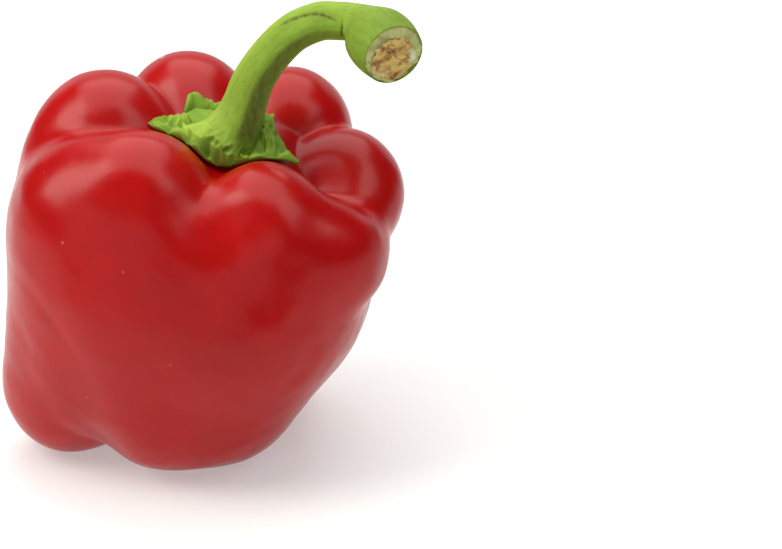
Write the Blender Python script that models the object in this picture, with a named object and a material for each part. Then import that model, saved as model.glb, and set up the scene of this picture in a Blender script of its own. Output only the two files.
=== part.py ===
"""Red bell pepper, as picked, with its green stem cut above the knob.

The fruit stands on four low feet. Its skin is the soft envelope of swept balls, one run of
balls for each lobe, round a blocky tilted core. The stem spreads into a pointed collar that
lies in the pit between the shoulders, and its cut end shows a torn pale pith.

Metres, +Z up. The origin is on the ground, under the middle of the whole pepper's box.
Seen along +Y the stem leans to +X and its cut end looks back towards -Y.
"""

import bmesh
import bpy
import numpy as np

MM = 0.001

# Where the object's origin lies in the coordinates of the tables below, mm
ORIGIN_MM = (1.231, 1.507, 0.0)

# Fruit: the point that every lobe is seen from, mm
MIDDLE_MM = (0.0, 0.0, 44.0)

# Lobes: balls from the foot up to the shoulder and over into the pit, as x, y, z, radius, mm
LOBES_MM = {
    "left": [
        (-20, -1, 17, 11), (-32.2, -5, 13.2, 14.5), (-26.8, -2, 31, 17),
        (-23.4, 4, 52, 17), (-22.8, 9, 71, 15.8), (-14, 6, 66, 12),
    ],
    "left_cheek": [(-22, -9, 22, 16.5), (-22, -10, 44, 15.5), (-24.5, -11, 62.5, 15.2), (-14, -7, 62, 11)],
    "front_left": [
        (-7, -7, 17, 12), (-9, -14.5, 16.2, 16.8), (-11, -14, 36, 21.5),
        (-12, -13, 52, 20.5), (-13, -13.5, 64, 16.5), (-5, -7, 61, 10),
    ],
    "front_right": [
        (2, -5, 17, 11), (3.5, -12, 15.7, 16.5), (7.5, -13, 30.5, 20.3),
        (11, -14, 48, 18.5), (15, -14.5, 59.5, 13.6), (11.5, -7, 58.5, 9.5),
    ],
    "right_ridge": [(14, -14, 57, 14), (21, -14, 54.5, 13.6), (26.5, -12, 51.5, 12)],
    "right_cheek": [(6, 0, 31, 17.5), (14, -6, 44, 15.5), (26.5, -12, 52, 12.5), (20, -6, 51.5, 11)],
    "right": [(5, 8, 28, 16.5), (15, 7, 43, 16), (26, 8, 52, 14), (31.5, 9, 59, 14), (22, 6, 57, 11)],
    "back_right": [
        (6, 9, 16, 11), (12, 19, 13.2, 14), (11, 19.5, 36, 17),
        (15, 20, 53, 18.5), (19, 24.5, 68, 14.5), (14, 15, 63, 11),
    ],
    "back": [
        (-9, 8, 17, 11), (-16, 16, 14.2, 15), (-12, 19, 34, 19),
        (-8, 21, 52, 19), (-5, 27, 70.5, 15), (-2, 17, 66, 12),
    ],
    "left_side": [(-24, -4, 50, 14.5), (-25, -1, 59, 14.5), (-25.2, 4, 65, 14.3)],
    "left_hollow": [(-28, -8, 20, 15), (-26, -9.5, 31.5, 16.0)],
    "front_middle": [(1, -14, 38, 19), (3, -17.5, 53, 14), (5, -17, 58, 10.8)],
    "right_side": [(17, 1.5, 27, 14.5), (23, 4, 42, 12.5)],
    "right_rim": [(27, -11.5, 52, 11.5), (32, -8.5, 50.5, 9.5), (32.5, -2, 54, 10), (32.5, 5, 57.5, 12)],
    "base": [(-4, 2, 30, 20), (-4, 2, 26, 17)],
}
BALLS_PER_STEP = 5
BALL_BLEND_MM = 0.7

# Core: a blocky ellipsoid that lifts its left side
CORE_TILT_DEG = 15.0
CORE_RADII_MM = (34.0, 34.0, 24.5)
CORE_POWER = 2.4

# Blend between lobes: sharp creases at the shoulders, softer at the feet, hollows at the waist
SHOULDER_BLEND_MM = 1.5
FOOT_BLEND_MM = 2.4
WAIST_BLEND_MM = 3.2
FOOT_HEIGHT = -0.45
FOOT_SPREAD = 0.1
WAIST_HEIGHT = -0.1
WAIST_SPREAD = 0.5

# Hollows pressed into the skin: where, how wide and how deep, mm
DENTS_MM = (
    (30.5, -2, 67, 9, 3.6),
)

FRUIT_SEGMENTS = 72
FRUIT_RINGS = 50

# Stem: middle line and radius from the collar to the cut, mm
STEM_MM = [
    (4.9, 1, 71.6, 8.0), (6.8, 1.8, 74.6, 6.4), (8.6, 2.5, 78, 5.5), (10.1, 2.9, 81.6, 4.95), (12.1, 3, 86.8, 4.7),
    (16.0, 2.5, 92.8, 4.5), (21.0, 2, 98.0, 4.4), (26.6, 1, 100.9, 4.3), (30.6, 0.1, 101.4, 4.2),
    (34.3, -0.8, 101.3, 4.4), (37.2, -2.4, 100.2, 6.1), (39.2, -4.8, 99.3, 7.5), (41.4, -8.4, 98.6, 7.8),
    (43.7, -13, 97.5, 7.1),
]
BUTTRESS_DEG = 197.0
BUTTRESS_SHARE = 0.22
BUTTRESS_WIDTH = 0.55
BUTTRESS_RUN = 0.05
STEM_STATIONS = 160
FLUTES = 5
FLUTE_DEPTH = 0.05
FLUTE_TWIST = 1.4
FLUTE_FADE = 0.72

# Socket in the cut end, which the pith fills
SOCKET_SHARE = 0.74
SOCKET_DEPTH_MM = 3.0
RIM_ROUND_MM = 0.5

# Collar: middle, pointed tips by direction and reach, and the margin between them
COLLAR_AT_MM = (5.5, 2.5)
TIPS = ((-124, 11.2), (-60, 10.8), (-19, 17.5), (37, 12.8), (86, 11.5), (129, 13.8), (192.5, 16.4))
MARGIN_SAG = 0.1
TIP_POINT_MM = 1.0
TIP_WIDTH_RAD = 0.07
COLLAR_SKIN_MM = 1.0
COLLAR_BLEND_MM = 1.8
FLARE_POWER = 3.2

# Air between pieces that touch, wider where two faceted skins lie over each other
SEAT_GAP_MM = 0.3
DRAPE_GAP_MM = 0.4

# Rings of the stem piece, from the middle of the socket to the middle of the underside
SOCKET_RINGS = 5
ROUND_RINGS = 2
SHAFT_RINGS = 24
FLARE_RINGS = 8
UNDER_RINGS = 7
STEM_SEGMENTS = 48

PITH_SEGMENTS = 24
PITH_RINGS = 12
PITH_FACE_RINGS = 7
PITH_PROUD_MM = 0.7


def clear_scene():
    """Remove every object that the file opened with."""
    for thing in list(bpy.data.objects):
        bpy.data.objects.remove(thing, do_unlink=True)


def painted(name, colour, roughness):
    """Give a Principled material with one colour and roughness."""
    material = bpy.data.materials.new(name)
    material.use_nodes = True
    shader = material.node_tree.nodes["Principled BSDF"]
    shader.inputs["Base Color"].default_value = (*colour, 1.0)
    shader.inputs["Roughness"].default_value = roughness
    shader.inputs["Metallic"].default_value = 0.0
    material.diffuse_color = (*colour, 1.0)
    return material


def smooth_run(stations, count):
    """Read count evenly spaced stations from a Catmull-Rom curve through the given ones."""
    given = np.array(stations, float)
    first = 2 * given[0] - given[1]
    last = 2 * given[-1] - given[-2]
    knots = np.vstack([first, given, last])
    along = np.linspace(0, len(given) - 1 - 1e-9, count)
    span = along.astype(int)
    t = (along - span)[:, None]
    a, b, c, d = knots[span], knots[span + 1], knots[span + 2], knots[span + 3]
    bend = (2 * a - 5 * b + 4 * c - d) * t ** 2 + (3 * b - a - 3 * c + d) * t ** 3
    return 0.5 * (2 * b + (c - a) * t + bend)


def soft_max(values, blend):
    """Largest of several arrays, rounded over where they come within the blend."""
    stack = np.array(values)
    top = stack.max(0)
    return top + blend * np.log(np.exp((stack - top) / blend).sum(0))


def ball_reach(direction, centre, size):
    """Distance from the origin at which rays in a direction leave a ball."""
    along = direction @ centre
    inside = centre @ centre - size * size
    return along + np.sqrt(np.maximum(along * along - inside, 0.02))


def fruit_radius(direction, shoulder_blend=SHOULDER_BLEND_MM):
    """Distance from the middle to the skin along unit directions, mm.

    Each lobe is the soft largest reach of the balls on its run. The fruit is the soft
    largest of the lobes and of the tilted core, with a wider blend at the feet and waist.
    """
    middle = np.array(MIDDLE_MM)
    reaches = []
    for stations in LOBES_MM.values():
        balls = smooth_run(stations, 1 + BALLS_PER_STEP * (len(stations) - 1))
        lobe = [ball_reach(direction, ball[:3] - middle, ball[3]) for ball in balls]
        reaches.append(soft_max(lobe, BALL_BLEND_MM) - BALL_BLEND_MM)
    tilt = np.radians(CORE_TILT_DEG)
    across = direction[..., 0] * np.cos(tilt) - direction[..., 2] * np.sin(tilt)
    upward = direction[..., 0] * np.sin(tilt) + direction[..., 2] * np.cos(tilt)
    shares = np.abs(np.stack([across, direction[..., 1], upward], -1)) / np.array(CORE_RADII_MM)
    reaches.append((shares ** CORE_POWER).sum(-1) ** (-1 / CORE_POWER))
    foot = 1 / (1 + np.exp((upward - FOOT_HEIGHT) / FOOT_SPREAD))
    waist = np.exp(-((upward - WAIST_HEIGHT) / WAIST_SPREAD) ** 2)
    blend = shoulder_blend + (FOOT_BLEND_MM - SHOULDER_BLEND_MM) * foot + WAIST_BLEND_MM * waist
    return soft_max(reaches, blend)


def fruit_top(x, y, shoulder_blend, low=58.0, high=92.0, halvings=16):
    """Height of the fruit's upper skin over each x, y, found by halving, mm."""
    middle = np.array(MIDDLE_MM)
    under = np.full_like(x, low)
    over = np.full_like(x, high)
    for _ in range(halvings):
        guess = (under + over) / 2
        arm = np.stack([x, y, guess], -1) - middle
        length = np.linalg.norm(arm, axis=-1)
        outside = length > fruit_radius(arm / length[..., None], shoulder_blend)
        over = np.where(outside, guess, over)
        under = np.where(outside, under, guess)
    return (under + over) / 2


def fruit_place(direction):
    """Skin point for each unit direction, hollowed, with the feet pressed flat, mm."""
    middle = np.array(MIDDLE_MM)
    radius = fruit_radius(direction)
    points = direction * radius[..., None] + middle
    for x, y, z, width, depth in DENTS_MM:
        away = np.linalg.norm(points - np.array((x, y, z)), axis=-1)
        radius = radius - depth * np.exp(-(away / width) ** 2)
    points = direction * radius[..., None] + middle
    points[..., 2] = np.maximum(points[..., 2], 0.0)
    return points


def stem_frames():
    """Middle line, radius, direction and two side directions along the stem, mm."""
    line = smooth_run(STEM_MM, STEM_STATIONS)
    centre, size = line[:, :3], line[:, 3]
    ahead = np.gradient(centre, axis=0)
    ahead /= np.linalg.norm(ahead, axis=-1, keepdims=True)
    side = np.zeros_like(ahead)
    carried = np.array([1.0, 0.0, 0.0])
    for i, step in enumerate(ahead):
        carried = carried - step * (carried @ step)
        carried /= np.linalg.norm(carried)
        side[i] = carried
    return centre, size, ahead, side, np.cross(ahead, side)


def stem_ring(along, turn, scale, push):
    """Point on the stem at a share of its length and a turn round it, mm.

    The ring is fluted, scaled about the middle line and pushed along it. A buttress swells
    its foot on one side.
    """
    centre, size, ahead, side, third = stem_frames()
    share = np.linspace(0, 1, len(size))

    def read(values):
        return np.stack([np.interp(along, share, column) for column in values.T], -1)

    fade = np.clip((1 - along) / (1 - FLUTE_FADE), 0, 1)
    flute = 1 + FLUTE_DEPTH * fade * np.cos(FLUTES * turn + FLUTE_TWIST * along)
    off = np.angle(np.exp(1j * (turn - np.radians(BUTTRESS_DEG))))
    buttress = BUTTRESS_SHARE * np.exp(-(off / BUTTRESS_WIDTH) ** 2 - along / BUTTRESS_RUN)
    reach = np.interp(along, share, size) * (flute + buttress) * scale
    out = np.cos(turn)[..., None] * read(side) + np.sin(turn)[..., None] * read(third)
    return read(centre) + read(ahead) * push[..., None] + out * reach[..., None]


def collar_margin(turn):
    """Reach of the collar in each direction, mm.

    Straight lines run between neighbouring tips and sag inwards, with a point at each tip.
    """
    reach = np.zeros_like(turn)
    ends = TIPS[1:] + ((TIPS[0][0] + 360, TIPS[0][1]),)
    for (start, near), (end, far) in zip(TIPS, ends):
        first, span = np.radians(start), np.radians(end - start)
        off = np.mod(turn - first, 2 * np.pi)
        line = near * far * np.sin(span) / (near * np.sin(off) + far * np.sin(span - off) + 1e-9)
        share = off / span
        sagged = line * (1 - MARGIN_SAG * 4 * share * (1 - share))
        point = np.exp(-off / TIP_WIDTH_RAD) + np.exp(-(span - off) / TIP_WIDTH_RAD)
        reach = np.where(off <= span, sagged + TIP_POINT_MM * point, reach)
    return reach


def collar_bed(x, y):
    """Height that the collar's underside lies at: the pit with its creases bridged, mm."""
    return fruit_top(x, y, COLLAR_BLEND_MM) + DRAPE_GAP_MM


def stem_place(direction):
    """Point of the stem piece for each unit direction of a sphere, mm.

    The sphere's rings become, in order, the socket, the rounded rim, the shaft down to the
    collar, the flare out to the collar's margin, and the underside back to its middle.
    """
    total = SOCKET_RINGS + ROUND_RINGS + SHAFT_RINGS + FLARE_RINGS + UNDER_RINGS
    ring = np.round(np.arccos(np.clip(direction[:, 2], -1, 1)) / np.pi * total)
    turn = np.arctan2(direction[:, 1], direction[:, 0])

    floor_end = SOCKET_RINGS - 2
    rim = SOCKET_RINGS
    edge = rim + ROUND_RINGS
    foot = edge + SHAFT_RINGS
    hem = foot + FLARE_RINGS
    tip_radius = STEM_MM[-1][3]
    round_share = 1 - RIM_ROUND_MM / tip_radius
    knots = [0, floor_end, floor_end + 1, rim, edge]
    scales = [0, SOCKET_SHARE, SOCKET_SHARE, round_share, 1]
    pushes = [-SOCKET_DEPTH_MM, -SOCKET_DEPTH_MM, 0, 0, -RIM_ROUND_MM]
    scale = np.interp(ring, knots, scales)
    push = np.interp(ring, knots, pushes) * (ring < edge + 1)
    along = np.interp(ring, [edge, foot], [1 - 0.5 / STEM_STATIONS, 0])
    points = stem_ring(along, turn, scale, push)

    base = stem_ring(np.zeros_like(turn), turn, np.ones_like(turn), np.zeros_like(turn))
    reach = collar_margin(turn)
    hem_x = COLLAR_AT_MM[0] + reach * np.cos(turn)
    hem_y = COLLAR_AT_MM[1] + reach * np.sin(turn)
    base_rise = base[:, 2] - collar_bed(base[:, 0], base[:, 1]) - COLLAR_SKIN_MM

    out = np.clip((ring - foot) / FLARE_RINGS, 0, 1)
    x = base[:, 0] + (hem_x - base[:, 0]) * out
    y = base[:, 1] + (hem_y - base[:, 1]) * out
    flare = np.stack([x, y, collar_bed(x, y) + COLLAR_SKIN_MM + base_rise * (1 - out) ** FLARE_POWER], -1)
    points = np.where((ring > foot)[:, None], flare, points)

    back = np.clip((total - ring) / UNDER_RINGS, 0, 1) * (1 - 0.4 / reach)
    x = COLLAR_AT_MM[0] + (hem_x - COLLAR_AT_MM[0]) * back
    y = COLLAR_AT_MM[1] + (hem_y - COLLAR_AT_MM[1]) * back
    under = np.stack([x, y, collar_bed(x, y)], -1)
    return np.where((ring > hem)[:, None], under, points)


def pith_place(direction):
    """Point of the pith plug for each unit direction of a sphere, mm.

    The upper rings make the torn face, a little proud of the rim, and the rest the wall and
    the flat bottom inside the socket.
    """
    ring = np.round(np.arccos(np.clip(direction[:, 2], -1, 1)) / np.pi * PITH_RINGS)
    turn = np.arctan2(direction[:, 1], direction[:, 0])
    tip_radius = STEM_MM[-1][3]
    plug = SOCKET_SHARE - SEAT_GAP_MM / tip_radius
    wall_end = PITH_FACE_RINGS + 2
    scale = np.interp(ring, [0, PITH_FACE_RINGS, wall_end, PITH_RINGS], [0, plug, plug, 0])
    low = -SOCKET_DEPTH_MM + SEAT_GAP_MM
    push = np.interp(ring, [0, PITH_FACE_RINGS, wall_end], [PITH_PROUD_MM, PITH_PROUD_MM / 2, low])
    inner = np.sin(np.pi * np.clip(ring / PITH_FACE_RINGS, 0, 1))
    push = push + inner * (0.5 * np.sin(3 * turn + ring) + 0.35 * np.sin(7 * turn - 2 * ring))
    return stem_ring(np.ones_like(turn), turn, scale, push)


def moulded(name, segments, rings, place, material):
    """Make an object from a UV sphere whose points are moved by a placing function."""
    mould = bmesh.new()
    bmesh.ops.create_uvsphere(mould, u_segments=segments, v_segments=rings, radius=1.0)
    direction = np.array([vert.co[:] for vert in mould.verts])
    direction /= np.linalg.norm(direction, axis=-1, keepdims=True)
    points = (place(direction) - np.array(ORIGIN_MM)) * MM
    for vert, point in zip(mould.verts, points):
        vert.co = point
    bmesh.ops.triangulate(mould, faces=mould.faces[:])
    mesh = bpy.data.meshes.new(name)
    mould.to_mesh(mesh)
    mould.free()
    mesh.shade_smooth()
    mesh.materials.append(material)
    thing = bpy.data.objects.new(name, mesh)
    bpy.context.collection.objects.link(thing)
    return thing


def main():
    """Build the fruit, the stem with its collar and the pith."""
    clear_scene()
    stem_rings = SOCKET_RINGS + ROUND_RINGS + SHAFT_RINGS + FLARE_RINGS + UNDER_RINGS
    red = painted("glossy_red_skin", (0.45, 0.012, 0.01), 0.16)
    green = painted("green_stem", (0.17, 0.28, 0.03), 0.45)
    tan = painted("torn_pith", (0.55, 0.42, 0.2), 0.85)
    moulded("fruit", FRUIT_SEGMENTS, FRUIT_RINGS, fruit_place, red)
    moulded("stem", STEM_SEGMENTS, stem_rings, stem_place, green)
    moulded("pith", PITH_SEGMENTS, PITH_RINGS, pith_place, tan)


main()
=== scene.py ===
"""Looks of a red bell pepper with its arched green stem, laid out as a Blender add-on.

Every surface is a function of two grid parameters, worked out with numpy in millimetres in
the coordinates that the tables below use, and then moved to the frame in metres.
"""

import bpy
import numpy as np
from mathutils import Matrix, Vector


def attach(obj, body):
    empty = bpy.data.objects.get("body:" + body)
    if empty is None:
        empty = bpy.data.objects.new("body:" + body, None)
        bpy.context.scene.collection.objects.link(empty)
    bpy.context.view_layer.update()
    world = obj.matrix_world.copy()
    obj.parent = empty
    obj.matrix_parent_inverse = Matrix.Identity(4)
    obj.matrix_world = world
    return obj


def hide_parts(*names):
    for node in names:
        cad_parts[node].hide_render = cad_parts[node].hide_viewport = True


bl_info = {
    "name": "Bell Pepper",
    "version": (1, 0, 0),
    "blender": (4, 5, 0),
    "location": "3D View > Sidebar > Pepper",
    "description": "Builds a bell pepper, its stem and a plain studio round it",
    "category": "Object",
}

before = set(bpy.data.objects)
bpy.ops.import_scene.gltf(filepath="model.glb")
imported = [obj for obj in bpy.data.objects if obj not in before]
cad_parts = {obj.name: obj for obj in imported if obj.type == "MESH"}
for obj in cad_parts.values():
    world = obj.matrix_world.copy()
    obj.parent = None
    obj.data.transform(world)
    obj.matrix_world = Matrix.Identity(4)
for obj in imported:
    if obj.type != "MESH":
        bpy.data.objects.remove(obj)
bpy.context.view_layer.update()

MM = 0.001
ORIGIN_MM = np.array((1.231, 1.507, 0.0))
MIDDLE_MM = np.array((0.0, 0.0, 44.0))

# Lobes: balls from the foot up to the shoulder and over into the pit, as x, y, z, radius, mm
LOBES_MM = {
    "left": [
        (-20, -1, 17, 11), (-32.2, -5, 13.2, 14.5), (-26.8, -2, 31, 17),
        (-23.4, 4, 52, 17), (-22.8, 9, 71, 15.8), (-14, 6, 66, 12),
    ],
    "left_cheek": [
        (-22, -9, 22, 16.5), (-22, -10, 44, 15.5), (-24.5, -11, 62.5, 15.2), (-14, -7, 62, 11),
    ],
    "front_left": [
        (-7, -7, 17, 12), (-9, -14.5, 16.2, 16.8), (-11, -14, 36, 21.5),
        (-12, -13, 52, 20.5), (-13, -13.5, 64, 16.5), (-5, -7, 61, 10),
    ],
    "front_right": [
        (2, -5, 17, 11), (3.5, -12, 15.7, 16.5), (7.5, -13, 30.5, 20.3),
        (11, -14, 48, 18.5), (15, -14.5, 59.5, 13.6), (11.5, -7, 58.5, 9.5),
    ],
    "right_ridge": [(14, -14, 57, 14), (21, -14, 54.5, 13.6), (26.5, -12, 51.5, 12)],
    "right_cheek": [
        (6, 0, 31, 17.5), (14, -6, 44, 15.5), (26.5, -12, 52, 12.5), (20, -6, 51.5, 11),
    ],
    "right": [
        (5, 8, 28, 16.5), (15, 7, 43, 16), (26, 8, 52, 14), (31.5, 9, 59, 14), (22, 6, 57, 11),
    ],
    "back_right": [
        (6, 9, 16, 11), (12, 19, 13.2, 14), (11, 19.5, 36, 17),
        (15, 20, 53, 18.5), (19, 24.5, 68, 14.5), (14, 15, 63, 11),
    ],
    "back": [
        (-9, 8, 17, 11), (-16, 16, 14.2, 15), (-12, 19, 34, 19),
        (-8, 21, 52, 19), (-5, 27, 70.5, 15), (-2, 17, 66, 12),
    ],
    "left_side": [(-24, -4, 50, 14.5), (-25, -1, 59, 14.5), (-25.2, 4, 65, 14.3)],
    "left_hollow": [(-28, -8, 20, 15), (-26, -9.5, 31.5, 16.0)],
    "front_middle": [(1, -14, 38, 19), (3, -17.5, 53, 14), (5, -17, 58, 10.8)],
    "right_side": [(17, 1.5, 27, 14.5), (23, 4, 42, 12.5)],
    "right_rim": [
        (27, -11.5, 52, 11.5), (32, -8.5, 50.5, 9.5), (32.5, -2, 54, 10), (32.5, 5, 57.5, 12),
    ],
    "base": [(-4, 2, 30, 20), (-4, 2, 26, 17)],
}
BALLS_PER_STEP = 5
BALL_BLEND_MM = 0.7
CORE_TILT_DEG = 15.0
CORE_RADII_MM = np.array((34.0, 34.0, 24.5))
CORE_POWER = 2.4
SHOULDER_BLEND_MM = 1.5
FOOT_BLEND_MM = 2.4
WAIST_BLEND_MM = 3.2
FOOT_HEIGHT = -0.45
FOOT_SPREAD = 0.1
WAIST_HEIGHT = -0.1
WAIST_SPREAD = 0.5

# Hollows pressed into the skin: where, how wide and how deep, mm
DENTS_MM = ((30.5, -2, 67, 9, 3.6),)

# Shallow dips of the skin between its bumps: where, how wide and how deep, mm
DIPS_MM = (
    (-14.3, -28.5, 71.8, 6.0, 0.9),
    (-5.4, -27.4, 68.5, 5.0, 0.5),
    (9.4, -27.5, 65.8, 5.5, 0.9),
    (4.8, -30.0, 60.0, 5.5, 0.9),
    (-38.7, -22.3, 33.4, 5.0, 0.5),
    (24, -31.5, 42.0, 3.2, 0.35),
    (26, -30.6, 35.5, 3.0, 0.35),
    (22, -31.0, 31.0, 2.6, 0.3),
    (25, -22.0, 62.0, 5.0, 0.5),
    (2, -34, 51.5, 7.0, 0.9),
    (13, -34, 50.0, 7.0, 0.8),
    (-23.0, -24.0, 9.6, 6.0, 1.2),
    (-28.5, -18.0, 5.0, 5.0, 0.6),
)

# Single pale specks on the skin: where, mm
SPECKS_MM = (
    (-7.5, -26.0, 73.5), (-9.3, -27.0, 73.2), (-14.2, -34.7, 56.6), (5.3, -35.3, 53.6),
    (-4.6, -38.8, 36.4), (-24.5, -30.0, 24.1), (-32.5, -18.4, 73.1), (-32.4, -19.6, 72.4),
    (1.8, -38.9, 42.8), (-27.7, -28.9, 60.9),
)
SPECK_MM = 0.42

# Scar under the fruit: where on the floor plane, how wide, and the height that it stays below, mm
SCAR_AT_MM = (-4.0, 2.0)
SCAR_MM = 2.2
SCAR_BELOW_MM = 30

# Stem: middle line and radius from the collar to the cut, mm
STEM_MM = [
    (4.9, 1, 71.6, 8.0), (6.8, 1.8, 74.6, 6.4), (8.6, 2.5, 78, 5.5), (10.1, 2.9, 81.6, 4.95),
    (12.1, 3, 86.8, 4.7), (16.0, 2.5, 92.8, 4.5), (21.0, 2, 98.0, 4.4), (26.6, 1, 100.9, 4.3),
    (30.6, 0.1, 101.4, 4.2), (34.3, -0.8, 101.3, 4.4), (37.2, -2.4, 100.2, 6.1),
    (39.2, -4.8, 99.3, 7.5), (41.4, -8.4, 98.6, 7.8), (43.7, -13, 97.5, 7.1),
]
BUTTRESS_DEG = 197.0
BUTTRESS_SHARE = 0.22
BUTTRESS_WIDTH = 0.55
BUTTRESS_RUN = 0.05
STEM_STATIONS = 160
CUT_AT = 1 - 0.5 / STEM_STATIONS
CUT_RADIUS_MM = STEM_MM[-1][3]
PROFILE_STEPS = 8
SHAFT_ROWS = 180
SOCKET_DEPTH_MM = 3.0
RIM_ROUND_MM = 0.5
RIM_ROUND_RUN = 0.03
FOOT_LUMP_SHARE = 0.085
FOOT_LUMP_END = 0.085
SMOOTH_SIDE_DEG = 208.0
# Sides of the shaft's foot and of the collar that face the key light, where painted highlight
# lightens the green
LIT_SHAFT_DEG = 205.0
LIT_COLLAR_DEG = 200.0

# How much slimmer the detailed stem is than the plain solid: all along, and more at the knob
SLIM_SHARE = 0.008
KNOB_SLIM_SHARE = 0.03
KNOB_AT = 0.68

# Marks on the stem: place along it and round it, and share of the radius that they go in
RIBS = 5
RIB_TWIST = 1.4
RIB_FADE = 0.28
GROOVE_DEG = -48.0
GROOVE_WIDTH = 0.3
GROOVE_SHARE = 0.06
GROOVE_END = 0.75
CRACK_AT = 0.668
CRACK_DEG = -78.0
CRACK_SHARE = 0.09
SCRATCH_FROM = 0.468
SCRATCH_TO = 0.63
SCRATCH_DEG = -136.0
SCRATCH_SHARE = 0.035

# Collar: middle, pointed tips by direction and reach, and the margin between them
COLLAR_AT_MM = np.array((5.5, 2.5))
TIPS = ((-124, 11.2), (-60, 10.8), (-19, 17.5), (37, 12.8), (86, 11.5), (129, 13.8), (192.5, 16.4))
MARGIN_SAG = 0.1
TIP_POINT_MM = 1.0
TIP_WIDTH_RAD = 0.07
COLLAR_SKIN_MM = 1.0
COLLAR_BLEND_MM = 1.8
FLARE_POWER = 3.2
DRAPE_GAP_MM = 0.4
HEM_INSET_MM = 0.4
FLARE_ROWS = 60
UNDER_ROWS = 24

# Pith: how far its face laps over the pit's edge as a share, its gap to the socket, mm
PITH_LAP_SHARE = 0.09
PITH_GAP_MM = 0.3
PITH_REST_MM = 0.1
PITH_FLAP_MM = 0.5
PITH_FLAP_DEG = 95.0
PITH_FACE_MM = 5.2
PITH_FACE_ROWS = 48
PITH_WALL_ROWS = 7
PITH_BOTTOM_ROWS = 11

# Camera, fitted to the photograph's view
CAMERA_ELEVATION_DEG = 24.0
CAMERA_DISTANCE_MM = 500.0
CAMERA_AIM_MM = np.array((42.8, 0.0, 40.6))
CAMERA_LENS_MM = 100.0
CAMERA_SENSOR_MM = 36.0


def smooth_run(stations, count):
    """Evenly spaced stations of the Catmull-Rom curve through the given ones."""
    given = np.array(stations, float)
    knots = np.vstack([2 * given[0] - given[1], given, 2 * given[-1] - given[-2]])
    along = np.linspace(0, len(given) - 1 - 1e-9, count)
    span = along.astype(int)
    t = (along - span)[:, None]
    a, b, c, d = knots[span], knots[span + 1], knots[span + 2], knots[span + 3]
    bend = (2 * a - 5 * b + 4 * c - d) * t ** 2 + (3 * b - a - 3 * c + d) * t ** 3
    return 0.5 * (2 * b + (c - a) * t + bend)


def soft_max(values, blend):
    """Log of the sum of exponentials: the largest value, rounded where values meet."""
    stack = np.array(values)
    top = stack.max(0)
    return top + blend * np.log(np.exp((stack - top) / blend).sum(0))


def ball_reach(direction, centre, size):
    """Root of the ray and ball equation: how far a ray from the origin runs to leave a ball."""
    along = direction @ centre
    inside = centre @ centre - size * size
    return along + np.sqrt(np.maximum(along * along - inside, 0.02))


def fruit_radius(direction, shoulder_blend=SHOULDER_BLEND_MM):
    """Soft largest of the lobes' reaches and the tilted core's, with a blend by height."""
    reaches = []
    for stations in LOBES_MM.values():
        balls = smooth_run(stations, 1 + BALLS_PER_STEP * (len(stations) - 1))
        lobe = [ball_reach(direction, ball[:3] - MIDDLE_MM, ball[3]) for ball in balls]
        reaches.append(soft_max(lobe, BALL_BLEND_MM) - BALL_BLEND_MM)
    tilt = np.radians(CORE_TILT_DEG)
    across = direction[..., 0] * np.cos(tilt) - direction[..., 2] * np.sin(tilt)
    upward = direction[..., 0] * np.sin(tilt) + direction[..., 2] * np.cos(tilt)
    shares = np.abs(np.stack([across, direction[..., 1], upward], -1)) / CORE_RADII_MM
    reaches.append((shares ** CORE_POWER).sum(-1) ** (-1 / CORE_POWER))
    foot = 1 / (1 + np.exp((upward - FOOT_HEIGHT) / FOOT_SPREAD))
    waist = np.exp(-((upward - WAIST_HEIGHT) / WAIST_SPREAD) ** 2)
    blend = shoulder_blend + (FOOT_BLEND_MM - SHOULDER_BLEND_MM) * foot + WAIST_BLEND_MM * waist
    return soft_max(reaches, blend)


def fruit_top(x, y, shoulder_blend, low=58.0, high=92.0, halvings=16):
    """Height of the upper skin over each x, y: halve the span that holds the skin."""
    under = np.full_like(x, low)
    over = np.full_like(x, high)
    for _ in range(halvings):
        guess = (under + over) / 2
        arm = np.stack([x, y, guess], -1) - MIDDLE_MM
        length = np.linalg.norm(arm, axis=-1)
        outside = length > fruit_radius(arm / length[..., None], shoulder_blend)
        over = np.where(outside, guess, over)
        under = np.where(outside, under, guess)
    return (under + over) / 2


def ripple(points, wavelength, seed, waves=7):
    """Sum of sines along seeded random directions, from about -1 to 1, of one wavelength."""
    rng = np.random.default_rng(seed)
    total = np.zeros(points.shape[:-1])
    for _ in range(waves):
        axis = rng.normal(size=3)
        axis /= np.linalg.norm(axis)
        length = wavelength * rng.uniform(0.7, 1.4)
        total += np.sin(points @ axis * (2 * np.pi / length) + rng.uniform(0, 2 * np.pi))
    return total / np.sqrt(waves)


def sphere_directions(segments, rings):
    """Unit directions of a sphere's grid, ring by ring from the top pole to the bottom pole."""
    polar = np.linspace(0, np.pi, rings + 1)[:, None]
    turn = np.linspace(-np.pi, np.pi, segments, endpoint=False)[None, :]
    return np.stack(
        [np.sin(polar) * np.cos(turn), np.sin(polar) * np.sin(turn), np.cos(polar) + 0 * turn], -1
    )


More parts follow.
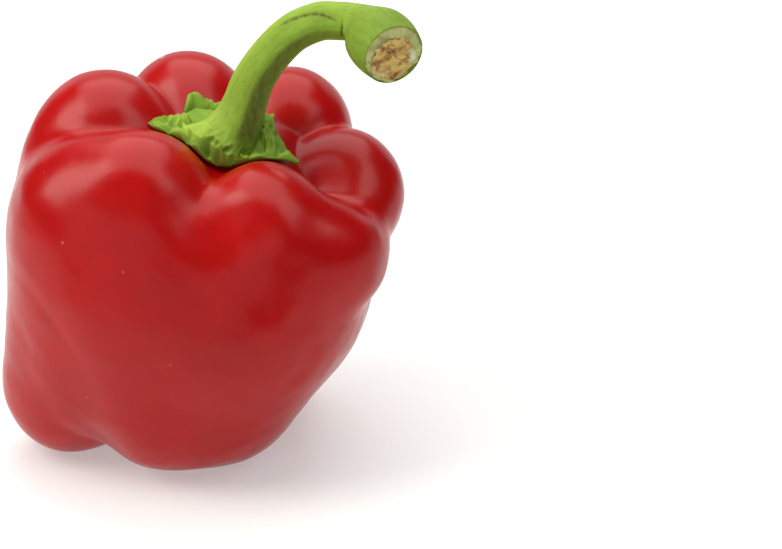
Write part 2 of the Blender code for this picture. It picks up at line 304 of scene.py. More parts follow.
def closed_mesh(name, rows, layers=None, vectors=None):
    """Mesh of a closed grid: its first and last rows are poles, its columns join round.

    Quads lie between rows and fans of triangles close the two poles. Layers are float
    attributes given on the same grid.
    """
    count, turns = rows.shape[:2]
    inner = rows[1:-1].reshape(-1, 3)
    verts = np.vstack([rows[0].mean(0), inner, rows[-1].mean(0)])
    verts = (verts - ORIGIN_MM) * MM
    column = np.arange(turns)
    after = (column + 1) % turns
    base = 1 + np.arange(count - 3)[:, None] * turns
    below = base + turns
    quads = np.stack([base + column, below + column, below + after, base + after], -1)
    quads = quads.reshape(-1, 4)
    last_row = 1 + (count - 3) * turns
    top = np.stack([0 * column, 1 + column, 1 + after], -1)
    bottom = np.stack([0 * column + len(verts) - 1, last_row + after, last_row + column], -1)
    corners = np.concatenate([quads.ravel(), top.ravel(), bottom.ravel()])
    totals = np.concatenate([np.full(len(quads), 4), np.full(2 * turns, 3)])
    starts = np.concatenate([[0], np.cumsum(totals)[:-1]])
    mesh = bpy.data.meshes.new(name)
    mesh.vertices.add(len(verts))
    mesh.vertices.foreach_set("co", verts.ravel().astype(np.float32))
    mesh.loops.add(len(corners))
    mesh.loops.foreach_set("vertex_index", corners.astype(np.int32))
    mesh.polygons.add(len(totals))
    mesh.polygons.foreach_set("loop_start", starts.astype(np.int32))
    mesh.polygons.foreach_set("loop_total", totals.astype(np.int32))
    mesh.update(calc_edges=True)
    mesh.validate()
    for layer, values in (layers or {}).items():
        flat = np.concatenate([[values[0].mean()], values[1:-1].ravel(), [values[-1].mean()]])
        attribute = mesh.attributes.new(layer, "FLOAT", "POINT")
        attribute.data.foreach_set("value", flat.astype(np.float32))
    for layer, values in (vectors or {}).items():
        flat = np.vstack([values[0].mean(0), values[1:-1].reshape(-1, 3), values[-1].mean(0)])
        attribute = mesh.attributes.new(layer, "FLOAT_VECTOR", "POINT")
        attribute.data.foreach_set("vector", flat.ravel().astype(np.float32))
    mesh.shade_smooth()
    return mesh


def add_piece(name, mesh, material, node):
    """Put a finished mesh into the scene on the pepper's body, in place of its CAD node."""
    mesh.materials.append(material)
    piece = bpy.data.objects.new(name, mesh)
    bpy.context.scene.collection.objects.link(piece)
    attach(piece, "root")
    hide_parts(node)


def new_material(name):
    """A material, its Principled shader, and two helpers, to add a node and to link two."""
    material = bpy.data.materials.new(name)
    material.use_nodes = True
    tree = material.node_tree
    shader = tree.nodes["Principled BSDF"]

    def add(kind, **values):
        node = tree.nodes.new(kind)
        for key, value in values.items():
            if key in node.inputs:
                node.inputs[key].default_value = value
            else:
                setattr(node, key, value)
        return node

    def join(source, output, target, socket):
        tree.links.new(source.outputs[output], target.inputs[socket])

    return material, shader, add, join


def mixed(add, join, factor, output, low, high):
    """Mix node between two colours or two nodes' colours, by another node's output."""
    mix = add("ShaderNodeMix", data_type="RGBA")
    join(factor, output, mix, 0)
    for value, socket in ((low, 6), (high, 7)):
        if isinstance(value, tuple):
            mix.inputs[socket].default_value = (*value[:3], 1.0)
        else:
            join(value, 2 if value.bl_idname == "ShaderNodeMix" else 0, mix, socket)
    return mix


def ranged(add, join, source, output, low, high, to_low, to_high):
    """Map Range node from one span to another, clamped."""
    node = add("ShaderNodeMapRange")
    join(source, output, node, "Value")
    spans = {"From Min": low, "From Max": high, "To Min": to_low, "To Max": to_high}
    for socket, value in spans.items():
        node.inputs[socket].default_value = value
    return node


class PepperFruitSettings(bpy.types.PropertyGroup):
    segments: bpy.props.IntProperty(
        name="Segments", description="Grid columns round the fruit",
        default=480,
    )
    rings: bpy.props.IntProperty(
        name="Rings", description="Grid rows from pole to pole",
        default=204,
    )
    inset: bpy.props.FloatProperty(
        name="Inset", description="How far the fine skin lies inside the plain solid",
        default=0.1 * MM, unit="LENGTH",
    )
    wobble: bpy.props.FloatProperty(
        name="Wobble", description="Height of the slow waves in the skin",
        default=0.17 * MM, unit="LENGTH",
    )
    skin: bpy.props.FloatVectorProperty(
        name="Skin", description="Ripe red of the skin",
        default=(0.42, 0.0026, 0.0026), subtype="COLOR",
    )
    deep: bpy.props.FloatVectorProperty(
        name="Deep", description="Darker red of the mottling",
        default=(0.31, 0.0018, 0.002), subtype="COLOR",
    )
    speck: bpy.props.FloatVectorProperty(
        name="Speck", description="Pale specks in the skin",
        default=(0.75, 0.3, 0.25), subtype="COLOR",
    )
    roughness: bpy.props.FloatProperty(
        name="Roughness", description="Roughness of the waxy skin",
        default=0.27, subtype="FACTOR",
    )


class PepperStemSettings(bpy.types.PropertyGroup):
    segments: bpy.props.IntProperty(
        name="Segments", description="Grid columns round the stem",
        default=200,
    )
    flute_depth: bpy.props.FloatProperty(
        name="Flute depth", description="Share of the radius that the stem's ribs rise",
        default=0.035,
    )
    rumple: bpy.props.FloatProperty(
        name="Rumple", description="Height of the collar's folds",
        default=1.6 * MM, unit="LENGTH",
    )
    light: bpy.props.FloatVectorProperty(
        name="Light green", description="Rubbed light green",
        default=(0.26, 0.41, 0.042), subtype="COLOR",
    )
    green: bpy.props.FloatVectorProperty(
        name="Green", description="Green of the stem",
        default=(0.175, 0.31, 0.026), subtype="COLOR",
    )
    # Olive of the groove layer, which also stands for painted shade along the stem's underside
    olive: bpy.props.FloatVectorProperty(
        name="Olive", description="Dark olive of the groove",
        default=(0.085, 0.095, 0.012), subtype="COLOR",
    )
    flesh: bpy.props.FloatVectorProperty(
        name="Cut flesh", description="Pale green of the cut ring",
        default=(0.48, 0.49, 0.19), subtype="COLOR",
    )


class PepperPithSettings(bpy.types.PropertyGroup):
    segments: bpy.props.IntProperty(
        name="Segments", description="Grid columns round the pith",
        default=120,
    )
    tan: bpy.props.FloatVectorProperty(
        name="Tan", description="Dry torn fibres",
        default=(0.64, 0.45, 0.13), subtype="COLOR",
    )
    brown: bpy.props.FloatVectorProperty(
        name="Brown", description="Darkened fibres",
        default=(0.25, 0.1, 0.02), subtype="COLOR",
    )


class PepperStageSettings(bpy.types.PropertyGroup):
    floor: bpy.props.FloatVectorProperty(
        name="Floor", description="Colour of the plain floor",
        default=(0.66, 0.66, 0.66), subtype="COLOR",
    )
    key: bpy.props.FloatProperty(
        name="Key light", description="Power of the left softbox, W",
        default=3.8,
    )
    fill: bpy.props.FloatProperty(
        name="Fill light", description="Power of the right softbox, W",
        default=1.0,
    )
    top: bpy.props.FloatProperty(
        name="Top light", description="Power of the top softbox, W",
        default=8.8,
    )
    card: bpy.props.FloatProperty(
        name="Front card", description="Power of the low front card, W",
        default=9.4,
    )
    back: bpy.props.FloatProperty(
        name="Back card", description="Power of the card behind, W",
        default=6.0,
    )
    sky: bpy.props.FloatProperty(
        name="Room light", description="Strength of the even room light",
        default=0.06,
    )


def skin_material(settings):
    """Waxy red skin: slow colour change, fine mottling, pale specks, the scar and fine pores."""
    material, shader, add, join = new_material("waxy_red_skin")
    place = add("ShaderNodeTexCoord")
    slow = add("ShaderNodeTexNoise", Scale=38.0, Detail=3.0, Roughness=0.5)
    join(place, "Object", slow, "Vector")
    fine = add("ShaderNodeTexNoise", Scale=520.0, Detail=4.0, Roughness=0.6)
    join(place, "Object", fine, "Vector")
    tone = ranged(add, join, slow, "Fac", 0.35, 0.7, 0.0, 0.55)
    colour = mixed(add, join, tone, 0, tuple(settings.skin), tuple(settings.deep))

    mottle = add("ShaderNodeTexNoise", Scale=230.0, Detail=6.0, Roughness=0.65)
    join(place, "Object", mottle, "Vector")
    blotch = ranged(add, join, mottle, "Fac", 0.38, 0.68, 0.0, 0.4)
    colour = mixed(add, join, blotch, 0, colour, tuple(settings.deep))

    cells = add("ShaderNodeTexVoronoi", Scale=95.0, Randomness=1.0)
    join(place, "Object", cells, "Vector")
    dots = ranged(add, join, cells, "Distance", 0.03, 0.06, 1.0, 0.0)
    patch = add("ShaderNodeTexNoise", Scale=60.0, Detail=1.0)
    join(place, "Object", patch, "Vector")
    some = ranged(add, join, patch, "Fac", 0.62, 0.66, 0.0, 1.0)
    specks = add("ShaderNodeMath", operation="MULTIPLY")
    join(dots, 0, specks, 0)
    join(some, 0, specks, 1)
    colour = mixed(add, join, specks, 0, colour, tuple(settings.speck))
    for spot in SPECKS_MM:
        away = add("ShaderNodeVectorMath", operation="DISTANCE")
        join(place, "Object", away, 0)
        away.inputs[1].default_value = (np.array(spot) - ORIGIN_MM) * MM
        near = ranged(add, join, away, "Value", 0.5 * SPECK_MM * MM, SPECK_MM * MM, 0.5, 0.0)
        colour = mixed(add, join, near, 0, colour, tuple(settings.speck))
    scar = add("ShaderNodeAttribute", attribute_name="scar")
    colour = mixed(add, join, scar, "Fac", colour, (0.12, 0.06, 0.03))
    join(colour, 2, shader, "Base Color")

    shader.inputs["Roughness"].default_value = settings.roughness
    pores = add("ShaderNodeBump", Strength=0.12, Distance=0.0001)
    join(fine, "Fac", pores, "Height")
    waves = add("ShaderNodeTexNoise", Scale=150.0, Detail=2.0, Roughness=0.45)
    join(place, "Object", waves, "Vector")
    peel = add("ShaderNodeBump", Strength=0.25, Distance=0.0004)
    join(waves, "Fac", peel, "Height")
    join(pores, "Normal", peel, "Normal")
    dimples = add("ShaderNodeBump", Strength=0.2, Distance=0.0002)
    join(mottle, "Fac", dimples, "Height")
    join(peel, "Normal", dimples, "Normal")
    join(dimples, "Normal", shader, "Normal")
    shader.inputs["IOR"].default_value = 1.34
    shader.inputs["Subsurface Weight"].default_value = 0.03
    shader.inputs["Subsurface Radius"].default_value = (1.0, 0.2, 0.1)
    shader.inputs["Subsurface Scale"].default_value = 0.004
    return material


def stem_material(settings):
    """Green stalk: mottling, lengthwise grain, then each layer's colour over what is below it: the
    groove's olive with painted shade, painted shade in the hollows, painted highlight on the lit
    side and crests, the scratch and the cut flesh.
    """
    material, shader, add, join = new_material("green_stalk")
    place = add("ShaderNodeTexCoord")
    mottle = add("ShaderNodeTexNoise", Scale=180.0, Detail=4.0, Roughness=0.6)
    join(place, "Object", mottle, "Vector")
    along = add("ShaderNodeAttribute", attribute_name="grain")
    fibres = add("ShaderNodeTexNoise", Scale=1.6, Detail=5.0, Roughness=0.7)
    join(along, "Vector", fibres, "Vector")
    tone = ranged(add, join, mottle, "Fac", 0.3, 0.72, 0.0, 1.0)
    colour = mixed(add, join, tone, 0, tuple(settings.green), tuple(settings.light))
    streaks = ranged(add, join, fibres, "Fac", 0.5, 0.72, 0.0, 0.55)
    colour = mixed(add, join, streaks, 0, colour, tuple(0.6 * v for v in settings.green))
    for layer, tint, strength in (
        # Olive of the groove, partly painted shade along the stem's underside; the same layer also
        # darkens the knob
        ("groove", tuple(settings.olive), 0.9),
        # Painted shade: darker green in the hollows between the foot's lumps and between the
        # collar's folds
        ("crease_shade", (0.08, 0.17, 0.016), 0.7),
        # Painted highlight: lighter green on the key-lit side of the stem's foot and collar, on
        # lump tops and on fold crests
        ("painted_highlight", (0.42, 0.56, 0.08), 0.8),
        ("scratch", (0.07, 0.06, 0.015), 0.85),
        ("flesh", tuple(settings.flesh), 1.0),
    ):
        mask = add("ShaderNodeAttribute", attribute_name=layer)
        share = ranged(add, join, mask, "Fac", 0, 1, 0, strength)
        colour = mixed(add, join, share, 0, colour, tint)
    join(colour, 2, shader, "Base Color")
    shader.inputs["Roughness"].default_value = 0.55
    shader.inputs["IOR"].default_value = 1.24
    grain = add("ShaderNodeTexNoise", Scale=800.0, Detail=3.0, Roughness=0.6)
    join(place, "Object", grain, "Vector")
    bump = add("ShaderNodeBump", Strength=0.4, Distance=0.0003)
    join(grain, "Fac", bump, "Height")
    coarse = add("ShaderNodeBump", Strength=0.5, Distance=0.0005)
    join(mottle, "Fac", coarse, "Height")
    join(bump, "Normal", coarse, "Normal")
    ribs = add("ShaderNodeBump", Strength=0.5, Distance=0.0004)
    join(fibres, "Fac", ribs, "Height")
    join(coarse, "Normal", ribs, "Normal")
    join(ribs, "Normal", shader, "Normal")
    shader.inputs["Subsurface Weight"].default_value = 0.1
    shader.inputs["Subsurface Radius"].default_value = (0.5, 1.0, 0.2)
    shader.inputs["Subsurface Scale"].default_value = 0.0015
    return material


def pith_material(settings):
    """Torn pith: tan and brown fibres in uneven patches, dry and rough."""
    material, shader, add, join = new_material("torn_pith")
    place = add("ShaderNodeTexCoord")
    patches = add("ShaderNodeTexNoise", Scale=420.0, Detail=5.0, Roughness=0.65)
    join(place, "Object", patches, "Vector")
    tone = ranged(add, join, patches, "Fac", 0.38, 0.54, 0.0, 1.0)
    colour = mixed(add, join, tone, 0, tuple(settings.brown), tuple(settings.tan))
    pale = add("ShaderNodeTexNoise", Scale=300.0, Detail=2.0)
    join(place, "Object", pale, "Vector")
    light = ranged(add, join, pale, "Fac", 0.58, 0.7, 0.0, 0.6)
    colour = mixed(add, join, light, 0, colour, (0.62, 0.55, 0.33))
    flap = add("ShaderNodeAttribute", attribute_name="pale")
    torn = ranged(add, join, flap, "Fac", 0.3, 0.7, 0.0, 1.0)
    colour = mixed(add, join, torn, 0, colour, (0.6, 0.62, 0.36))
    join(colour, 2, shader, "Base Color")
    shader.inputs["Roughness"].default_value = 0.8
    fibre = add("ShaderNodeTexNoise", Scale=1500.0, Detail=4.0, Roughness=0.7)
    join(place, "Object", fibre, "Vector")
    bump = add("ShaderNodeBump", Strength=0.8, Distance=0.0004)
    join(fibre, "Fac", bump, "Height")
    join(bump, "Normal", shader, "Normal")
    return material


def floor_material(settings):
    """Plain pale matt floor with a faint slow change of tone."""
    material, shader, add, join = new_material("pale_floor")
    place = add("ShaderNodeTexCoord")
    slow = add("ShaderNodeTexNoise", Scale=3.0, Detail=2.0)
    join(place, "Object", slow, "Vector")
    base = tuple(settings.floor)
    colour = mixed(add, join, slow, "Fac", tuple(0.99 * v for v in base), base)
    join(colour, 2, shader, "Base Color")
    shader.inputs["Roughness"].default_value = 0.6
    shader.inputs["Emission Color"].default_value = (0.97, 1.0, 1.0, 1.0)
    shader.inputs["Emission Strength"].default_value = 0.34
    return material


def fruit_rows(settings):
    """Skin grid: each direction times its radius, with slow waves, hollows and shallow dips.

    The feet are pressed flat where they would reach below the floor.
    """
    direction = sphere_directions(settings.segments, settings.rings)
    radius = fruit_radius(direction) - settings.inset / MM
    points = direction * radius[..., None]
    wave = ripple(points, 15.0, seed=3) + 0.5 * ripple(points, 7.0, seed=8)
    radius = radius - settings.wobble / MM * (1 + 0.5 * wave)
    points = direction * radius[..., None] + MIDDLE_MM
    for x, y, z, width, depth in DENTS_MM + DIPS_MM:
        away = np.linalg.norm(points - (x, y, z), axis=-1)
        radius = radius - depth * np.exp(-(away / width) ** 2)
    points = direction * radius[..., None] + MIDDLE_MM
    points[..., 2] = np.maximum(points[..., 2], 0.0)
    return points


class PEPPER_OT_fruit(bpy.types.Operator):
    """Build the red lobed fruit"""

    bl_idname = "pepper.fruit"
    bl_label = "Fruit"

    def execute(self, context):
        settings = context.scene.pepper_fruit
        rows = fruit_rows(settings)
        away = np.hypot(rows[..., 0] - SCAR_AT_MM[0], rows[..., 1] - SCAR_AT_MM[1])
        scar = np.exp(-(away / SCAR_MM) ** 4) * (rows[..., 2] < SCAR_BELOW_MM)
        mesh = closed_mesh("fruit_skin", rows, {"scar": scar})
        add_piece("fruit_skin", mesh, skin_material(settings), "fruit")
        return {"FINISHED"}


def stem_frames():
    """Middle line, radius, direction and two carried side directions along the stem."""
    line = smooth_run(STEM_MM, STEM_STATIONS)
    centre, size = line[:, :3], line[:, 3]
    ahead = np.gradient(centre, axis=0)
    ahead /= np.linalg.norm(ahead, axis=-1, keepdims=True)
    side = np.zeros_like(ahead)
    carried = np.array([1.0, 0.0, 0.0])
    for i, step in enumerate(ahead):
        carried = carried - step * (carried @ step)
        carried /= np.linalg.norm(carried)
        side[i] = carried
    return centre, size, ahead, side, np.cross(ahead, side)


def stem_ring(along, turn, reach, push):
    """Middle line plus a turned side vector times the radius and reach, pushed along the line."""
    centre, size, ahead, side, third = stem_frames()
    share = np.linspace(0, 1, len(size))

    def read(values):
        return np.stack([np.interp(along, share, column) for column in values.T], -1)

    out = np.cos(turn)[..., None] * read(side) + np.sin(turn)[..., None] * read(third)
    reach = np.interp(along, share, size) * reach
    return read(centre) + read(ahead) * push[..., None] + out * reach[..., None]


def bell(value, centre, width):
    """Bell curve round a centre, with angles taken the short way round."""
    off = np.angle(np.exp(1j * (value - centre)))
    return np.exp(-(off / width) ** 2)


def collar_margin(turn):
    """Straight lines between neighbouring tips, sagging inwards, with a point at each tip."""
    reach = np.zeros_like(turn)
    for (start, near), (end, far) in zip(TIPS, TIPS[1:] + ((TIPS[0][0] + 360, TIPS[0][1]),)):
        first, span = np.radians(start), np.radians(end - start)
        off = np.mod(turn - first, 2 * np.pi)
        line = near * far * np.sin(span) / (near * np.sin(off) + far * np.sin(span - off) + 1e-9)
        share = off / span
        sagged = line * (1 - MARGIN_SAG * 4 * share * (1 - share))
        point = np.exp(-off / TIP_WIDTH_RAD) + np.exp(-(span - off) / TIP_WIDTH_RAD)
        reach = np.where(off <= span, sagged + TIP_POINT_MM * point, reach)
    return reach


def collar_bed(x, y):
    """Height of the collar's underside: the pit with its creases bridged, and a gap."""
    return fruit_top(x, y, COLLAR_BLEND_MM) + DRAPE_GAP_MM


def shaft_reach(along, turn, settings):
    """One, plus the ribs and the buttress at the foot, less the marks and the slimming.

    The ribs are a cosine round the stem that fades towards the cut. The marks are the groove,
    the crack at the neck and the scratch line.
    """
    fade = np.clip((1 - along) / RIB_FADE, 0, 1)
    ribs = settings.flute_depth * fade * np.cos(RIBS * turn + RIB_TWIST * along)
    ending = np.clip((GROOVE_END - along) / 0.2, 0, 1)
    groove = GROOVE_SHARE * bell(turn, np.radians(GROOVE_DEG), GROOVE_WIDTH) * ending
    crack = CRACK_SHARE * neck_crack(along, turn)
    scratch = SCRATCH_SHARE * scratch_line(along, turn)
    foot = np.exp(-along / BUTTRESS_RUN)
    buttress = BUTTRESS_SHARE * bell(turn, np.radians(BUTTRESS_DEG), BUTTRESS_WIDTH) * foot
    slim = SLIM_SHARE + KNOB_SLIM_SHARE * np.clip((along - KNOB_AT) / 0.1, 0, 1)
    return 1 + ribs + buttress - groove - crack - scratch - slim


def scratch_line(along, turn):
    """Narrow bell about a slanting line on the arch's upper front, broken by a slow wave."""
    start = 1 / (1 + np.exp(-(along - SCRATCH_FROM) / 0.006))
    ends = start / (1 + np.exp((along - SCRATCH_TO) / 0.006))
    middle = np.radians(SCRATCH_DEG) + 14.5 * (along - 0.462) ** 2
    broken = 0.85 + 0.25 * np.sin(along * 230) + 0.2 * np.sin(along * 510 + turn * 9)
    return np.clip(bell(turn, middle, 0.09) * ends * broken, 0, 1)


def neck_crack(along, turn):
    """Narrow bell along the stem at the neck, on its front side only."""
    middle = CRACK_AT - 0.016 * (turn + 1.6) ** 2 + 0.002 * np.sin(11 * turn)
    line = 1.5 * np.exp(-((along - middle) / 0.005) ** 2)
    return np.clip(line * bell(turn, np.radians(CRACK_DEG), 0.42), 0, 1)


def pit_share(turn):
    """Share of the cut's radius that the pit takes: a circle off to one side, ragged."""
    ragged = 0.02 * np.sin(7 * turn + 1) + 0.015 * np.sin(13 * turn)
    return 0.62 + 0.11 * np.cos(turn + 0.2) + ragged


def stem_rows(settings):
    """Stem grid from the socket's middle to the underside's middle, with its layers.

    Socket and rim are rings at the cut scaled and pushed by a profile, with a ragged face.
    The shaft is rings along the middle line, lumpy at the foot. The flare runs from the
    shaft's foot to the collar's margin, high over the pit by a power of the way out, plus
    folds made of ripples. The underside follows the pit back.
    """
    turn = np.linspace(-np.pi, np.pi, settings.segments, endpoint=False)[None, :]
    pit = pit_share(turn[0])
    full = 1 - SLIM_SHARE - KNOB_SLIM_SHARE
    rim = full - RIM_ROUND_MM / CUT_RADIUS_MM
    shares = np.stack([0 * pit, pit, pit + 0.01, rim + 0 * pit, full + 0 * pit])
    profile = np.array((-SOCKET_DEPTH_MM, -SOCKET_DEPTH_MM, 0.0, 0.0, -RIM_ROUND_MM))
    depths = profile[:, None] + 0 * turn
    step = np.arange((len(profile) - 1) * PROFILE_STEPS) / PROFILE_STEPS
    first, part = step.astype(int), (step % 1)[:, None]
    scale = shares[first] * (1 - part) + shares[first + 1] * part
    push = depths[first] * (1 - part) + depths[first + 1] * part
    end = np.full_like(scale, CUT_AT)
    ragged = 0.3 * np.sin(4 * turn + 1) + 0.2 * np.sin(11 * turn) + 0.12 * np.sin(23 * turn + 2)
    ragged = ragged * np.clip((scale - pit) * 8, 0, 1)
    ragged = ragged - (0.45 + 0.2 * np.sin(9 * scale)) * (scale > pit)
    cut = stem_ring(end, turn + 0 * scale, scale, push + ragged)
    along = np.linspace(1, 0, SHAFT_ROWS)[:, None] * CUT_AT + 0 * turn
    spin = turn + 0 * along
    shaft_push = -RIM_ROUND_MM * np.clip((along - 1) / RIM_ROUND_RUN + 1, 0, 1)
    reach = shaft_reach(along, spin, settings)
    plain = stem_ring(along, spin, reach, shaft_push)
    low = np.clip(1.15 - along / FOOT_LUMP_END, 0, 1)
    low = low * (1 - 0.75 * bell(spin, np.radians(SMOOTH_SIDE_DEG), 0.45))
    lumps = 0.45 * ripple(plain, 4.6, seed=5) + 0.35 - np.abs(ripple(plain, 3.0, seed=9))
    lumps = lumps + 0.4 * (0.5 - np.abs(ripple(plain, 1.8, seed=14)))
    shaft = stem_ring(along, spin, reach + FOOT_LUMP_SHARE * low * (lumps - 0.2), shaft_push)

    base = shaft[-1]
    reach = collar_margin(turn)[0]
    hem = COLLAR_AT_MM + reach[:, None] * np.stack([np.cos(turn[0]), np.sin(turn[0])], -1)
    rise = base[:, 2] - collar_bed(base[:, 0], base[:, 1]) - COLLAR_SKIN_MM
    out = np.linspace(0, 1, FLARE_ROWS + 1)[1:, None]
    x = base[:, 0] + (hem[:, 0] - base[:, 0]) * out
    y = base[:, 1] + (hem[:, 1] - base[:, 1]) * out
    plan = np.stack([x, y, 0 * x], -1)
    spread = np.hypot(x - COLLAR_AT_MM[0], y - COLLAR_AT_MM[1])[..., None]
    fan = np.concatenate([8 * (plan[..., :2] - COLLAR_AT_MM) / (spread + 1), 0.35 * spread], -1)
    folds = 0.5 * ripple(plan, 5.0, seed=5) + 0.7 - np.abs(ripple(fan, 3.4, seed=9))
    folds = folds + 0.45 * (0.7 - np.abs(ripple(plan, 2.0, seed=14)))
    grown = np.clip(out * 7, 0, 1)
    # Painted highlight on the fold crests
    crest = np.clip(folds - 0.35, 0, 1) * grown
    # Painted shade in the hollows between the folds
    crease_shade = np.clip(0.3 - folds, 0, 1) * grown
    folds = settings.rumple / MM * folds * grown * (1 - 0.5 * out)
    thick = COLLAR_SKIN_MM * (1 - 0.35 * out ** 6)
    height = collar_bed(x, y) + thick + rise * (1 - out) ** FLARE_POWER + folds
    flare = np.stack([x, y, height], -1)

    back = np.linspace(1, 0, UNDER_ROWS)[:, None] * (1 - HEM_INSET_MM / reach)
    x = COLLAR_AT_MM[0] + (hem[:, 0] - COLLAR_AT_MM[0]) * back
    y = COLLAR_AT_MM[1] + (hem[:, 1] - COLLAR_AT_MM[1]) * back
    under = np.stack([x, y, collar_bed(x, y)], -1)

    rows = np.concatenate([cut, shaft, flare, under])
    blank = [np.zeros(grid.shape[:2]) for grid in (cut, shaft, flare, under)]
    # Groove band: the groove's dark olive colour plus painted shade, on the stem's front-right and
    # under the arch, fading at the foot and towards the knob
    edges = 1 / (1 + np.exp(-(spin + 1.35) / 0.05)) / (1 + np.exp((spin + 0.3) / 0.15))
    groove = edges * np.clip((GROOVE_END - along) / 0.3, 0, 1)
    groove = groove * np.clip(along * 12 - 0.4, 0.05, 1)
    groove = np.clip(groove * (0.88 + 0.12 * ripple(shaft, 1.7, seed=31)), 0, 1)
    # The whole knob past the neck is darkened by the same layer
    groove = np.maximum(groove, 0.28 * np.clip((along - 0.69) * 40, 0, 1))
    # Painted highlight: lighter on the side facing the key light, fading up the shaft and out over
    # the collar, and on lump tops and fold crests
    highlight_shaft = bell(spin, np.radians(LIT_SHAFT_DEG), 0.9) * 0.5 * (1 - along)
    highlight_shaft = highlight_shaft + 0.15 * low * np.clip(lumps, 0, 1)
    highlight_flare = bell(turn, np.radians(LIT_COLLAR_DEG), 0.5) * (1 - out) ** 2
    highlight_flare = highlight_flare + 0.25 * crest
    marks = scratch_line(along, spin) + neck_crack(along, spin)
    flesh = np.clip((scale - 0.3) * 9, 0, 1) * (scale < 0.94)
    layers = {
        "groove": [blank[0], groove, blank[2], blank[3]],
        # Painted shade in the hollows between the foot's lumps and between the collar's folds
        "crease_shade": [blank[0], low * np.clip(-lumps, 0, 1), crease_shade, blank[3]],
        "painted_highlight": [blank[0], highlight_shaft, highlight_flare, blank[3]],
        "scratch": [blank[0], marks, blank[2], blank[3]],
        "flesh": [flesh, blank[1], blank[2], blank[3]],
    }
    runs = [80 + push, 80 * along, -9 * out, 0 * back - 9]
    turns = [turn + zeros for zeros in blank]
    grain = np.concatenate([
        np.stack([4 * np.cos(t), 4 * np.sin(t), 0.12 * run + 0 * t], -1)
        for t, run in zip(turns, runs)
    ])
    return rows, {key: np.concatenate(parts) for key, parts in layers.items()}, grain


class PEPPER_OT_stem(bpy.types.Operator):
    """Build the green stem with its collar"""

    bl_idname = "pepper.stem"
    bl_label = "Stem"

    def execute(self, context):
        settings = context.scene.pepper_stem
        rows, layers, grain = stem_rows(settings)
        mesh = closed_mesh("stem_and_collar", rows, layers, {"grain": grain})
        add_piece("stem_and_collar", mesh, stem_material(settings), "stem")
        return {"FINISHED"}


def pith_rows(settings):
    """Pith plug: a torn face that laps over the pit's edge, its wall, and its flat bottom.

    The face is a disc of the pit's shape, pushed out by ripples and by a bell for the torn
    flap on one side. The second result is the flap's share, for its paler colour.
    """
    turn = np.linspace(-np.pi, np.pi, settings.segments, endpoint=False)[None, :]
    face = np.linspace(0, 1, PITH_FACE_ROWS)[:, None] + 0 * turn
    lap = pit_share(turn) + PITH_LAP_SHARE
    lap = lap + 0.03 * np.sin(5 * turn) + 0.025 * np.sin(17 * turn + 1)
    neck = pit_share(turn) - PITH_GAP_MM / CUT_RADIUS_MM
    wall = np.linspace(0, 1, PITH_WALL_ROWS)[:, None] + 0 * turn
    floor = np.linspace(1, 0, PITH_BOTTOM_ROWS + 1)[1:, None]
    plane = PITH_FACE_MM * np.stack([face * np.cos(turn), face * np.sin(turn), 0 * face], -1)
    torn = 0.35 * ripple(plane, 2.6, seed=21) + 0.3 * (0.6 - np.abs(ripple(plane, 1.3, seed=22)))
    flap = np.exp(-((face - 0.85) / 0.22) ** 2) * bell(turn, np.radians(PITH_FLAP_DEG), 0.5)
    top = PITH_REST_MM + torn * (1 - face ** 8) + PITH_FLAP_MM * flap
    low = -SOCKET_DEPTH_MM + PITH_GAP_MM
    side = PITH_REST_MM + (low - PITH_REST_MM) * wall
    scale = np.concatenate([face * lap, neck + 0 * wall, floor * neck])
    push = np.concatenate([top, side, low + 0 * floor * turn])
    end = np.full_like(scale, CUT_AT)
    pale = np.concatenate([flap, 0 * wall, 0 * floor * turn])
    return stem_ring(end, turn + 0 * scale, scale, push), pale


class PEPPER_OT_pith(bpy.types.Operator):
    """Build the torn pith in the cut end"""

    bl_idname = "pepper.pith"
    bl_label = "Pith"

    def execute(self, context):
        settings = context.scene.pepper_pith
        rows, pale = pith_rows(settings)
        mesh = closed_mesh("torn_pith_face", rows, {"pale": pale})
        add_piece("torn_pith_face", mesh, pith_material(settings), "pith")
        return {"FINISHED"}


def softbox(name, at, aim, size, power, colour=(1.0, 1.0, 1.0)):
    """Rectangular area light at a place in metres, turned to its aim, unseen by the camera."""
    data = bpy.data.lights.new(name, "AREA")
    data.shape = "RECTANGLE"
    data.size, data.size_y = size
    data.energy = power
    data.color = colour
    lamp = bpy.data.objects.new(name, data)
    lamp.location = at
    lamp.rotation_euler = Vector(np.subtract(aim, at)).to_track_quat("-Z", "Y").to_euler()
    lamp.visible_camera = False
    bpy.context.scene.collection.objects.link(lamp)


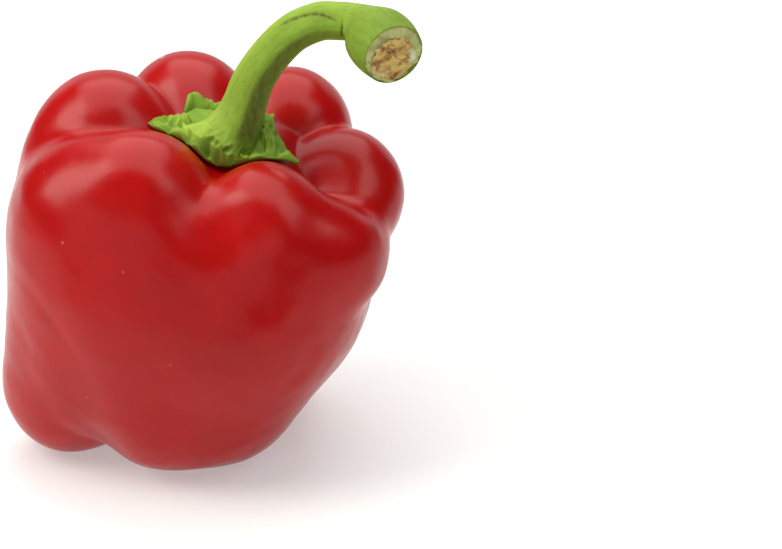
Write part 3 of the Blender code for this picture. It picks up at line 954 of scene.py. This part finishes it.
class PEPPER_OT_stage(bpy.types.Operator):
    """Set up the pale floor, the soft lights and the camera"""

    bl_idname = "pepper.stage"
    bl_label = "Stage"

    def execute(self, context):
        settings = context.scene.pepper_stage
        mesh = bpy.data.meshes.new("floor")
        corners = [(-2.5, -3.0, 0), (2.5, -3.0, 0), (2.5, 3.0, 0), (-2.5, 3.0, 0)]
        mesh.from_pydata(corners, [], [(0, 1, 2, 3)])
        mesh.materials.append(floor_material(settings))
        floor = bpy.data.objects.new("floor", mesh)
        context.scene.collection.objects.link(floor)

        middle = (0.0, 0.0, 0.05)
        softbox(
            "key_softbox", (-0.52, -0.11, 0.55), middle, (0.38, 0.56), settings.key,
            (1.0, 0.97, 0.9),
        )
        softbox(
            "fill_softbox", (0.46, -0.2, 0.57), middle, (0.32, 0.36), settings.fill,
            (1.0, 0.98, 0.94),
        )
        softbox(
            "top_softbox", (0.0, 0.33, 0.8), (0.0, 0.33, 0.0), (0.9, 1.2), settings.top,
            (1.0, 0.985, 0.94),
        )
        softbox("front_card", (-0.44, -1.62, 0.58), middle, (3.0, 1.16), settings.card)
        softbox("back_card", (0.0, 1.7, 0.5), middle, (3.0, 1.0), settings.back)
        world = bpy.data.worlds.new("room")
        world.use_nodes = True
        background = world.node_tree.nodes["Background"]
        background.inputs["Color"].default_value = (1.0, 1.0, 1.0, 1.0)
        background.inputs["Strength"].default_value = settings.sky
        context.scene.world = world

        elevation = np.radians(CAMERA_ELEVATION_DEG)
        back = np.array((0.0, -np.cos(elevation), np.sin(elevation)))
        aim = (CAMERA_AIM_MM - ORIGIN_MM) * MM
        place = aim + back * CAMERA_DISTANCE_MM * MM
        data = bpy.data.cameras.new("camera")
        data.sensor_fit = "HORIZONTAL"
        data.sensor_width = CAMERA_SENSOR_MM
        data.lens = CAMERA_LENS_MM
        camera = bpy.data.objects.new("camera", data)
        camera.location = place
        camera.rotation_euler = Vector(aim - place).to_track_quat("-Z", "Y").to_euler()
        context.scene.collection.objects.link(camera)
        context.scene.camera = camera
        context.scene.view_settings.view_transform = "Standard"
        return {"FINISHED"}


class PEPPER_PT_panel(bpy.types.Panel):
    """Lists the pepper's pieces"""

    bl_label = "Bell Pepper"
    bl_idname = "PEPPER_PT_panel"
    bl_space_type = "VIEW_3D"
    bl_region_type = "UI"
    bl_category = "Pepper"

    def draw(self, context):
        for operator, group in STEPS:
            box = self.layout.box()
            box.operator(operator)
            settings = getattr(context.scene, group)
            for key in settings.__annotations__:
                box.prop(settings, key)


STEPS = (
    ("pepper.fruit", "pepper_fruit"),
    ("pepper.stem", "pepper_stem"),
    ("pepper.pith", "pepper_pith"),
    ("pepper.stage", "pepper_stage"),
)
GROUPS = {
    "pepper_fruit": PepperFruitSettings,
    "pepper_stem": PepperStemSettings,
    "pepper_pith": PepperPithSettings,
    "pepper_stage": PepperStageSettings,
}
CLASSES = (
    *GROUPS.values(),
    PEPPER_OT_fruit, PEPPER_OT_stem, PEPPER_OT_pith, PEPPER_OT_stage, PEPPER_PT_panel,
)


def register():
    for item in CLASSES:
        bpy.utils.register_class(item)
    for name, group in GROUPS.items():
        setattr(bpy.types.Scene, name, bpy.props.PointerProperty(type=group))


def unregister():
    for name in GROUPS:
        delattr(bpy.types.Scene, name)
    for item in reversed(CLASSES):
        bpy.utils.unregister_class(item)


def main():
    """Register the classes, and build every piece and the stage."""
    register()
    bpy.ops.pepper.fruit()
    bpy.ops.pepper.stem()
    bpy.ops.pepper.pith()
    bpy.ops.pepper.stage()


if __name__ == "__main__":
    main()
